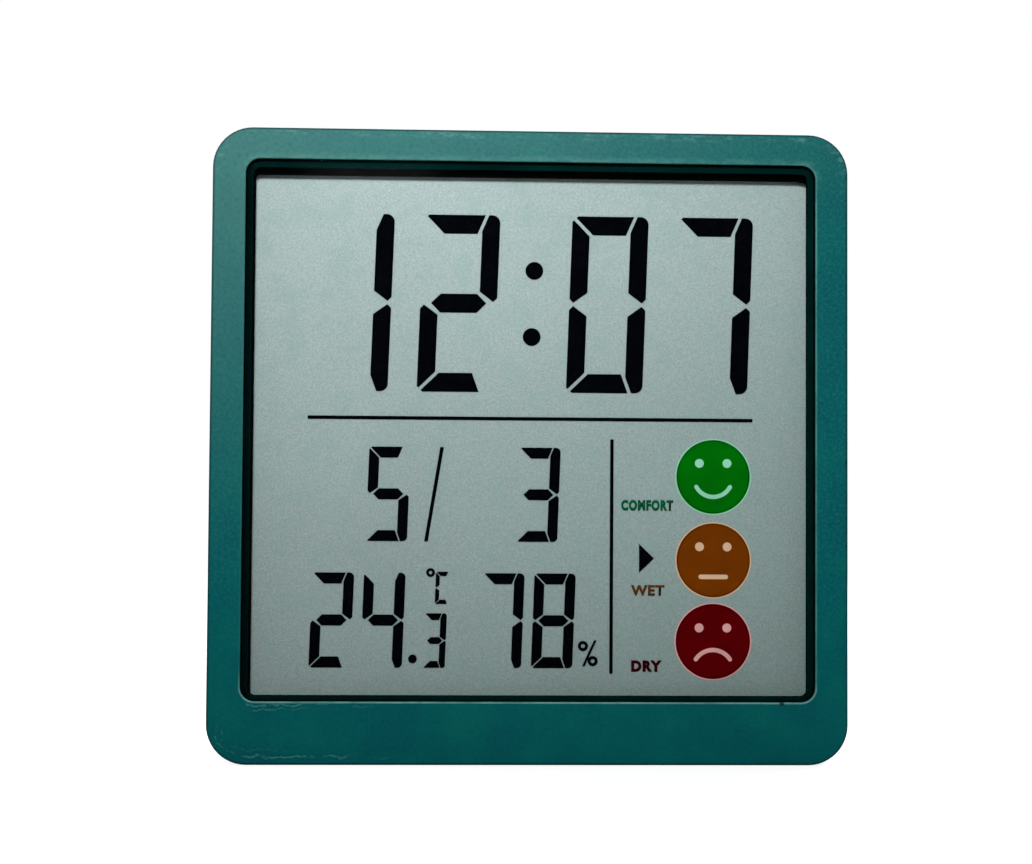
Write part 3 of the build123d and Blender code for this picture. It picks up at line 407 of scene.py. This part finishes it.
def scuffs(s, base, front, rub):
    # Wavy scuffs at the lower left, two along the foot of the case and two under the opening, each partly
    # painted sheen and with a painted shadow beside it. Each has the outline that it follows, the side of it
    # that it keeps to, its right end, and its place from the outline.
    wave = s.product(s.math("SUBTRACT", s.noise(2.0 * MM, 3.0, 0.55), 0.5), 2.0 * MM)
    broken = s.range(s.noise(2.2 * MM, 4.0, 0.7), 0.44, 0.56)
    left, bottom = front.low[0], front.low[2]
    foot = s.range(front.z, 6.2 * MM, 4.8 * MM)
    under = s.product(s.range(front.z, bottom - 0.1 * MM, bottom - 0.5 * MM),
                      s.range(front.x, left, left + 1.0 * MM))
    courses = (
        (front.from_case, foot, -13 * MM, -1.1 * MM),
        (front.from_case, foot, -29 * MM, -1.9 * MM),
        (front.from_opening, under, -15 * MM, 0.5 * MM),
        (front.from_opening, under, -23 * MM, 1.1 * MM),
    )
    for distance, side, end, place in courses:
        off = s.math("ABSOLUTE", s.math("SUBTRACT", s.math("ADD", distance, wave), place))
        fade = s.product(s.range(front.x, end, end - 14 * MM), side, broken)
        thread = s.product(s.range(off, 0.22 * MM, 0.02 * MM), fade)
        # Pale thread: partly the scuff's own mark, partly its painted sheen
        base = s.paint(base, s.product(thread, 0.5), SCUFF_AND_SHEEN)
        # Painted shadow beside each thread
        shadow = s.product(s.range(off, 0.42 * MM, 0.24 * MM), fade)
        base = s.paint(base, s.product(s.math("SUBTRACT", shadow, thread), 0.3), SCUFF_SHADE)
        rub = s.math("MAXIMUM", rub, thread)
    return base, rub


def nicks(s, base, front):
    # Two small nicks, at the right edge and under the opening.
    places = ((front.right, 37.8 * MM, 0.55 * MM), (31.6 * MM, front.low[2] - 0.2 * MM, 0.45 * MM))
    for x, z, radius in places:
        off = s.length(s.math("SUBTRACT", front.x, x), s.math("SUBTRACT", front.z, z))
        base = s.paint(base, s.product(s.range(off, radius, radius / 3, 0.0, 0.85), front.face), NICK)
    return base


def clear(name, roughness):
    # Clear sheet with a faint dark tint.
    s = Shader(name)
    s.colour(s.tones(s.noise(15 * MM, 3.0), NOISE_SPAN, ((8, 14, 14), (16, 22, 22))))
    s.rough(s.noise(6.0 * MM, 4.0), roughness, roughness + 0.02)
    alpha = s.range(s.noise(20 * MM, 2.0), *NOISE_SPAN, SHEET_ALPHA, SHEET_ALPHA * 1.25)
    s.link(alpha, s.bsdf.inputs["Alpha"])
    s.put(specular_ior_level=0.02)
    return s.material


def surround():
    # Very dark green frame round the display, with painted shade that makes it blacker at its left.
    s = Shader("surround_green")
    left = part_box("display_surround")[0][0]
    cloud = s.noise(6.0 * MM, 4.0)
    base = s.tones(cloud, NOISE_SPAN, ((0, 22, 22), (0, 33, 30)))
    # Painted shade at the left, where the case's left wall shadows the frame
    s.colour(s.paint(base, s.range(s.axis("X"), left + 2.8 * MM, left + 1.8 * MM, 0.0, 0.8), (2, 7, 8)))
    s.rough(cloud, 0.5, 0.6)
    s.put(specular_ior_level=0.0)
    return s.material


def reflector():
    # Grey-green reflector behind the display, with painted light that makes it paler to the top left, and the
    # fine sparkle of its matt film.
    s = Shader("reflector")
    # Painted light: the tone rises towards the top left
    rise = s.math("SUBTRACT", s.axis("Z"), 41 * MM)
    lit_slope = s.math("MULTIPLY_ADD", s.axis("X"), -4.2, s.product(rise, 6.6))
    base = s.tones(s.range(lit_slope, -0.40, 0.40, smooth=False), (0.0, 0.5, 1.0),
                   ((128, 148, 145), (144, 162, 160), (158, 176, 174)))
    fine = s.noise(0.22 * MM, 2.0, 0.8)
    base = s.paint(base, s.range(fine, 0.32, 0.68, 0.0, 0.48), (255, 255, 255), "SOFT_LIGHT")
    streak = s.noise(0.6 * MM, 4.0, 0.75, stretch=(1.6, 1.0, 0.8))
    base = s.paint(base, s.range(streak, 0.46, 0.66, 0.0, 0.22), (122, 156, 146))
    patch = s.noise(3.2 * MM, 3.0, 0.6)
    s.colour(s.paint(base, s.range(patch, 0.48, 0.64, 0.0, 0.30), (138, 170, 162)))
    s.rough(fine, 0.45, 0.6)
    s.put(specular_ior_level=0.03)
    return s.material


def battery_wrap(node, nub_up):
    # Dark printed wrap that leaves the metal bare at the end with the nub.
    s = Shader(node + "_wrap")
    low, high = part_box(node)
    bare = (high[2] - low[2]) * BARE_SHARE
    edge = high[2] - bare if nub_up else low[2] + bare
    step = WRAP_EDGE if nub_up else -WRAP_EDGE
    brushed = s.noise(0.4 * MM, 3.0, stretch=(1.0, 1.0, 6.0))
    wrap = s.tones(s.noise(4.0 * MM, 3.0), NOISE_SPAN, ((24, 28, 34), (32, 37, 44)))
    metal = s.tones(brushed, NOISE_SPAN, ((182, 184, 184), (196, 198, 197)))
    s.colour(s.mix(s.range(s.axis("Z"), edge - step, edge + step), wrap, metal))
    s.rough(brushed, 0.24, 0.32)
    s.put(metallic=0.35)
    return s.material


def dress():
    # Each material with the nodes that wear it.
    front = shell("case_green", FRONT_GREENS, specular=0.03, wear_and_painted_light=True)
    back = shell("back_green", BACK_GREENS, specular=0.10, wear_and_painted_light=False)
    key = plain("key_green", (2, 70, 68), (8, 84, 80), 4.0 * MM, rough=(0.5, 0.62), bump=0.25, specular=0.15)
    foam = plain("foam_black", (1, 3, 3), (6, 9, 9), 0.6 * MM, rough=(0.85, 0.95), bump=0.5, specular=0.0)
    segment = plain("segment_ink", (1, 2, 5), (4, 5, 10), 2.0 * MM, rough=(0.5, 0.6), bump=0.0, specular=0.0)
    seal = plain("seal_black", (20, 24, 24), (34, 38, 38), 2.0 * MM, rough=(0.6, 0.7))
    rubber = plain("strip_rubber", (60, 62, 66), (150, 150, 150), 0.4 * MM, rough=(0.6, 0.8),
                   stretch=(1.0, 0.05, 0.05))
    tray = plain("tray_white", (214, 216, 210), (232, 233, 228), 6.0 * MM, rough=(0.45, 0.6), bump=0.2)
    steel = plain("screw_steel", (150, 150, 152), (196, 196, 198), 1.2 * MM, rough=(0.25, 0.42), metallic=1.0)
    board = plain("board_green", (12, 74, 34), (24, 98, 46), 3.0 * MM, rough=(0.3, 0.45), bump=0.3)
    resin = plain("resin_black", (10, 10, 11), (24, 24, 26), 1.5 * MM, rough=(0.25, 0.5), bump=0.3)
    can = plain("can_metal", (168, 166, 162), (206, 204, 200), 1.6 * MM, rough=(0.18, 0.32), metallic=1.0)
    chip = plain("chip_ceramic", (26, 26, 28), (60, 58, 56), 0.6 * MM, rough=(0.4, 0.6))
    black = plain("black_plastic", (14, 14, 15), (30, 30, 32), 1.4 * MM, rough=(0.45, 0.6), bump=0.3)
    sleeve = plain("capacitor_sleeve", (14, 20, 48), (26, 34, 70), 2.0 * MM, rough=(0.3, 0.4))
    sensor = plain("sensor_ceramic", (214, 208, 192), (234, 230, 216), 1.2 * MM, rough=(0.4, 0.6))
    nickel = plain("contact_nickel", (176, 172, 160), (212, 208, 198), 1.4 * MM, rough=(0.2, 0.38),
                   metallic=1.0, stretch=(1.0, 1.0, 0.2))
    looks = (
        (front, ["front_frame"]),
        (back, ["rear_cover", "stand", "battery_door"]),
        (key, [name + "_button" for name in KEY_WORDS]),
        (clear("window_clear", 0.02), ["display_window"]),
        (clear("glass_clear", 0.05), ["lcd_front_glass"]),
        (surround(), ["display_surround"]),
        (foam, ["display_gasket"]),
        (segment, ["lcd_segments"]),
        (seal, ["lcd_seal"]),
        (reflector(), ["lcd_rear_panel"]),
        (rubber, ["zebra_strip"]),
        (tray, ["lcd_tray"]),
        (steel, ["tray_screws", "case_screws"]),
        (board, ["main_board"]),
        (resin, ["controller_chip", "thermistor"]),
        (can, ["crystal", "component_leads"]),
        (chip, ["chip_parts"]),
        (black, ["buzzer", "switch_bodies"] + [name + "_plunger" for name in KEY_WORDS]),
        (sleeve, ["capacitor"]),
        (sensor, ["humidity_sensor"]),
        (nickel, ["cell_contact_plus", "cell_contact_minus", "cell_link", "cell_springs"]),
        (battery_wrap("battery_left", nub_up=True), ["battery_left"]),
        (battery_wrap("battery_right", nub_up=False), ["battery_right"]),
    )
    for material, nodes in looks:
        for node in nodes:
            for slot in frame["nodes"][node].material_slots:
                slot.material = material


# Outlines of the prints are lists of places in X and Z, in millimetres
def circle(x, z, radius, count=64):
    turns = [2 * math.pi * i / count for i in range(count)]
    return [(x + radius * math.cos(turn), z + radius * math.sin(turn)) for turn in turns]


def bow(x, z, half, rise, count=25):
    # Part of a circle through two corners, its middle higher or lower by rise. With no rise it is straight.
    if not rise:
        return [(x - half, z), (x, z), (x + half, z)]
    radius = (half * half + rise * rise) / (2 * abs(rise))
    reach = math.asin(half / radius)
    turns = [reach * (2 * i / (count - 1) - 1) for i in range(count)]
    return [(x + radius * math.sin(turn), z + rise - math.copysign(radius, rise) * (1 - math.cos(turn)))
            for turn in turns]


def stroke(points, width, steps=10):
    # A bent line of even width with round ends.
    left, right = [], []
    for i, (x, z) in enumerate(points):
        x0, z0 = points[max(i - 1, 0)]
        x1, z1 = points[min(i + 1, len(points) - 1)]
        length = math.hypot(x1 - x0, z1 - z0)
        across = -(z1 - z0) / length * width / 2
        up = (x1 - x0) / length * width / 2
        left.append((x + across, z + up))
        right.append((x - across, z - up))
    ends = []
    for (x, z), (side_x, side_z) in ((points[-1], left[-1]), (points[0], right[0])):
        start = math.atan2(side_z - z, side_x - x)
        turns = [start - math.pi * k / steps for k in range(1, steps)]
        ends.append([(x + width / 2 * math.cos(turn), z + width / 2 * math.sin(turn)) for turn in turns])
    return left + ends[0] + right[::-1] + ends[1]


def add_print(name, mesh, material, thickness=0.0):
    mesh.materials.clear()
    mesh.materials.append(material)
    thing = bpy.data.objects.new(name, mesh)
    scene.collection.objects.link(thing)
    if thickness:
        thick = thing.modifiers.new("thickness", "SOLIDIFY")
        thick.thickness = thickness * MM
        thick.offset = 1.0
    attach(thing, "case")


def plate(name, outlines, front, back, material):
    # Closed flat shapes between two levels of Y.
    vertices, faces = [], []
    for outline in outlines:
        n = len(outline)
        first = len(vertices)
        for level in (front, back):
            vertices += [(x * MM, level * MM, z * MM) for x, z in outline]
        faces.append([first + i for i in range(n)])
        faces.append([first + n + i for i in reversed(range(n))])
        faces += [[first + (i + 1) % n, first + i, first + n + i, first + n + (i + 1) % n] for i in range(n)]
    mesh = bpy.data.meshes.new(name)
    mesh.from_pydata(vertices, [], faces)
    mesh.validate()
    add_print(name, mesh, material)


def word(name, text, x, z, level, thickness, weight, material):
    # Letters that fill a field and stand on a level of Y. With X from high to low they face the back.
    data = bpy.data.curves.new(name, "FONT")
    data.body = text
    data.size = 1.0
    data.offset = weight
    data.space_character = 1.0 + LETTER_SPREAD * weight
    data.resolution_u = 4
    letters = bpy.data.objects.new(name, data)
    scene.collection.objects.link(letters)
    bpy.context.view_layer.update()
    mesh = bpy.data.meshes.new_from_object(letters.evaluated_get(bpy.context.evaluated_depsgraph_get()))
    bpy.data.objects.remove(letters)
    low = [min(v.co[i] for v in mesh.vertices) for i in (0, 1)]
    high = [max(v.co[i] for v in mesh.vertices) for i in (0, 1)]
    for v in mesh.vertices:
        across = (v.co.x - low[0]) / (high[0] - low[0])
        up = (v.co.y - low[1]) / (high[1] - low[1])
        v.co = Vector(((x[0] + across * (x[1] - x[0])) * MM, level * MM, (z[0] + up * (z[1] - z[0])) * MM))
    add_print(name, mesh, material, thickness)


def display_print():
    # Behind the front glass: three simple faces for the comfort level, each with its word.
    for name, ((x, z), radius, main, light, (half, under, rise, width)) in MOODS.items():
        marks = [circle(x + side * EYE_ACROSS, z + EYE_UP, EYE_RADIUS, 32) for side in (-1, 1)]
        marks.append(stroke(bow(x, z - under, half, rise), width))
        edge_ink = ink(name + "_edge_ink", scaled(light, 0.93), light)
        rim_ink = ink(name + "_rim_ink", scaled(main, 0.72), scaled(main, 0.85))
        disc_ink = ink(name + "_ink", scaled(main, 0.95), scaled(main, 1.06))
        mark_ink = ink(name + "_mark_ink", scaled(light, 0.95), light)
        layers = (
            ("edge", [circle(x, z, radius + EDGE_RING)], edge_ink),
            ("rim", [circle(x, z, radius)], rim_ink),
            ("disc", [circle(x, z, radius - RIM_RING)], disc_ink),
            ("marks", marks, mark_ink),
        )
        for count, (layer, outlines, material) in enumerate(layers):
            back = PRINT_LEVEL - INK * count
            plate(name + "_" + layer, outlines, back - INK, back, material)
    for name, (text, x, z, weight, dark, light) in WORDS.items():
        material = ink(name + "_word_ink", dark, light)
        word(name + "_word", text, x, z, PRINT_LEVEL, WORD_THICKNESS, weight, material)


def key_print():
    # A word over each key, on the floor of the key panel at the back.
    pale = ink("key_word_ink", (150, 186, 180), (172, 204, 198))
    for key, (text, width) in KEY_WORDS.items():
        low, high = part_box(key + "_button")
        middle = (low[0] + high[0]) / 2 / MM
        foot = high[2] / MM + KEY_WORD_GAP
        x = (middle + width / 2, middle - width / 2)
        z = (foot, foot + KEY_WORD_HEIGHT)
        word(key + "_key_word", text, x, z, KEY_PANEL_FLOOR, KEY_WORD_THICKNESS, KEY_WORD_WEIGHT, pale)


def floor():
    # Pale grey to the part, with its shadow. The camera, and gloss, see it glow brighter away from the part.
    mesh = bpy.data.meshes.new("floor")
    corners = [(x * FLOOR_HALF, y * FLOOR_HALF, 0) for x, y in ((-1, -1), (1, -1), (1, 1), (-1, 1))]
    mesh.from_pydata(corners, [], [(0, 1, 2, 3)])
    s = Shader("floor_white")
    stops = [(place, (grey,) * 3) for place, grey in zip(NOISE_SPAN, FLOOR_GREYS)]
    s.colour(s.ramp(s.noise(0.5, 2.0), stops))
    s.put(roughness=0.9, specular_ior_level=0.1)
    glow = s.nodes.new("ShaderNodeEmission")
    away = s.length(s.axis("X"), s.axis("Y"))
    s.link(s.range(away, *GLOW_REACH, *GLOW_STRENGTH), glow.inputs["Strength"])
    both = s.nodes.new("ShaderNodeAddShader")
    s.link(s.bsdf.outputs[0], both.inputs[0])
    s.link(glow.outputs[0], both.inputs[1])
    path = s.nodes.new("ShaderNodeLightPath")
    gloss = s.math("MAXIMUM", path.outputs["Is Glossy Ray"], path.outputs["Is Transmission Ray"])
    seen = s.math("MAXIMUM", path.outputs["Is Camera Ray"], gloss)
    pick = s.nodes.new("ShaderNodeMixShader")
    for socket, source in zip(pick.inputs, (seen, s.bsdf.outputs[0], both.outputs[0])):
        s.link(source, socket)
    s.link(pick.outputs[0], s.nodes["Material Output"].inputs[0])
    mesh.materials.append(s.material)
    thing = bpy.data.objects.new("floor", mesh)
    scene.collection.objects.link(thing)


def world():
    # Soft even light on the part, and white behind it.
    studio = bpy.data.worlds.new("studio")
    scene.world = studio
    studio.use_nodes = True
    nodes, links = studio.node_tree.nodes, studio.node_tree.links
    soft = nodes["Background"]
    white = nodes.new("ShaderNodeBackground")
    for node, strength in ((soft, WORLD_LIGHT), (white, WORLD_WHITE)):
        node.inputs["Color"].default_value = (1.0, 1.0, 1.0, 1.0)
        node.inputs["Strength"].default_value = strength
    path = nodes.new("ShaderNodeLightPath")
    seen = nodes.new("ShaderNodeMath")
    seen.operation = "MAXIMUM"
    links.new(path.outputs["Is Camera Ray"], seen.inputs[0])
    links.new(path.outputs["Is Transmission Ray"], seen.inputs[1])
    pick = nodes.new("ShaderNodeMixShader")
    for socket, source in zip(pick.inputs, (seen, soft, white)):
        links.new(source.outputs[0], socket)
    links.new(pick.outputs[0], nodes["World Output"].inputs[0])


def lamps():
    for name, (place, target, size, spread, power) in LAMPS.items():
        data = bpy.data.lights.new(name, "AREA")
        data.shape = "DISK"
        data.size = size
        data.spread = math.radians(spread)
        data.energy = power
        lamp = bpy.data.objects.new(name, data)
        lamp.location = place
        aim = Vector(target) - Vector(place)
        lamp.rotation_euler = aim.to_track_quat("-Z", "Y").to_euler()
        scene.collection.objects.link(lamp)


camera()
floor()
world()
lamps()
dress()
display_print()
key_print()
scene.view_settings.view_transform = "Standard"
bpy.context.view_layer.update()
